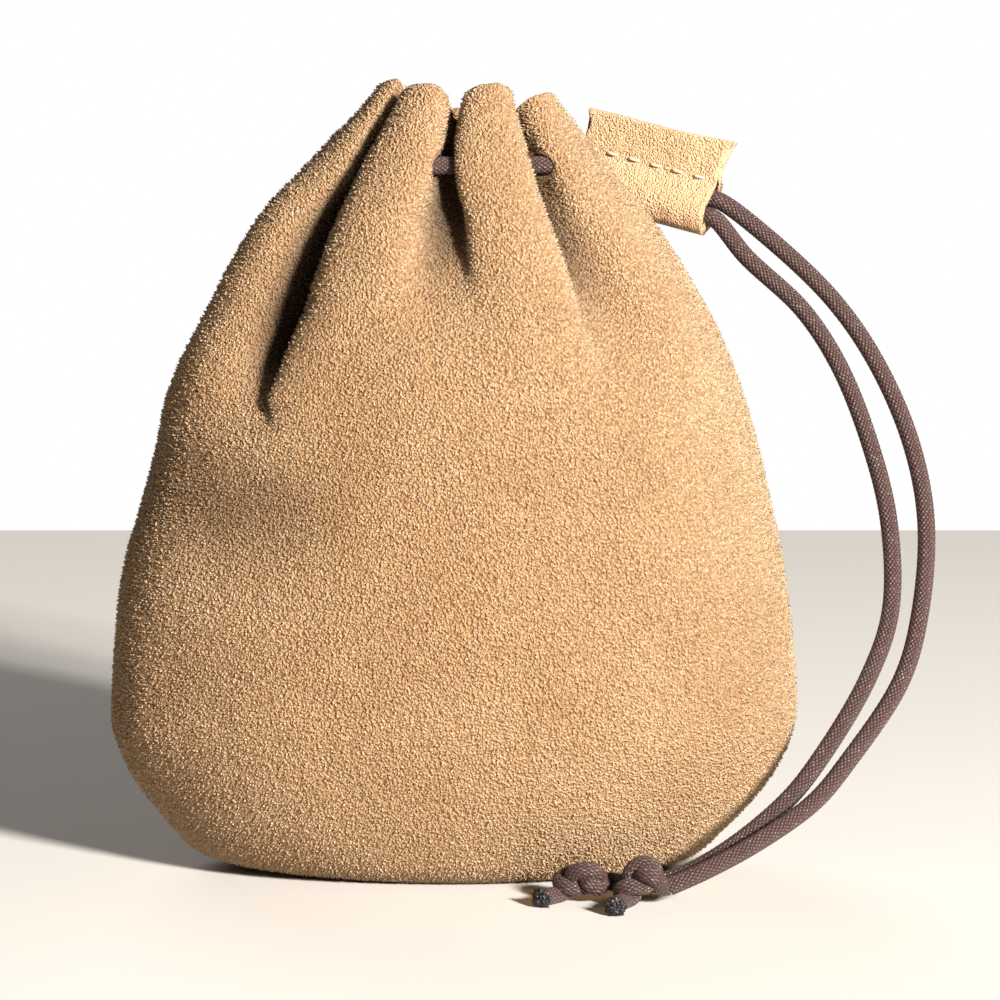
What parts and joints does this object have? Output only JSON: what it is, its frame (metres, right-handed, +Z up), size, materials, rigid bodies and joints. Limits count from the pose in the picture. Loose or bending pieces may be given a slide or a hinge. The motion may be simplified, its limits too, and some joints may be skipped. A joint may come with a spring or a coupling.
{
  "type": "drawstring coin purse",
  "caption": "Small suede pouch with rounded base, mouth gathered into folds by a waxed cord whose two knotted ends pass through a folded suede slider.",
  "frame": {"origin": "On the surface the pouch stands on, under the middle of the pouch's body with its slider, measured without the cords and knots.", "axes": "+Z up. The front panel faces -Y, with +X to the right of a viewer who looks at the front along +Y. The cord's ends leave the mouth on the +X side."},
  "size_m": [0.117, 0.0606, 0.1132],
  "materials": {
    "suede_front": "matte rough suede, tan",
    "suede_back": "matte rough suede, tan",
    "suede_slider": "matte rough suede, tan",
    "waxed_cord": "braided cotton cord with a wax shine, dark brown"
  },
  "bodies": {
    "root": {"front_panel": "suede_front", "back_panel": "suede_back", "cord_slider": "suede_slider", "drawstring_mouth": "waxed_cord", "tail_outer": "waxed_cord", "tail_inner": "waxed_cord", "knot_outer": "waxed_cord", "knot_inner": "waxed_cord"}
  },
  "joints": []
}
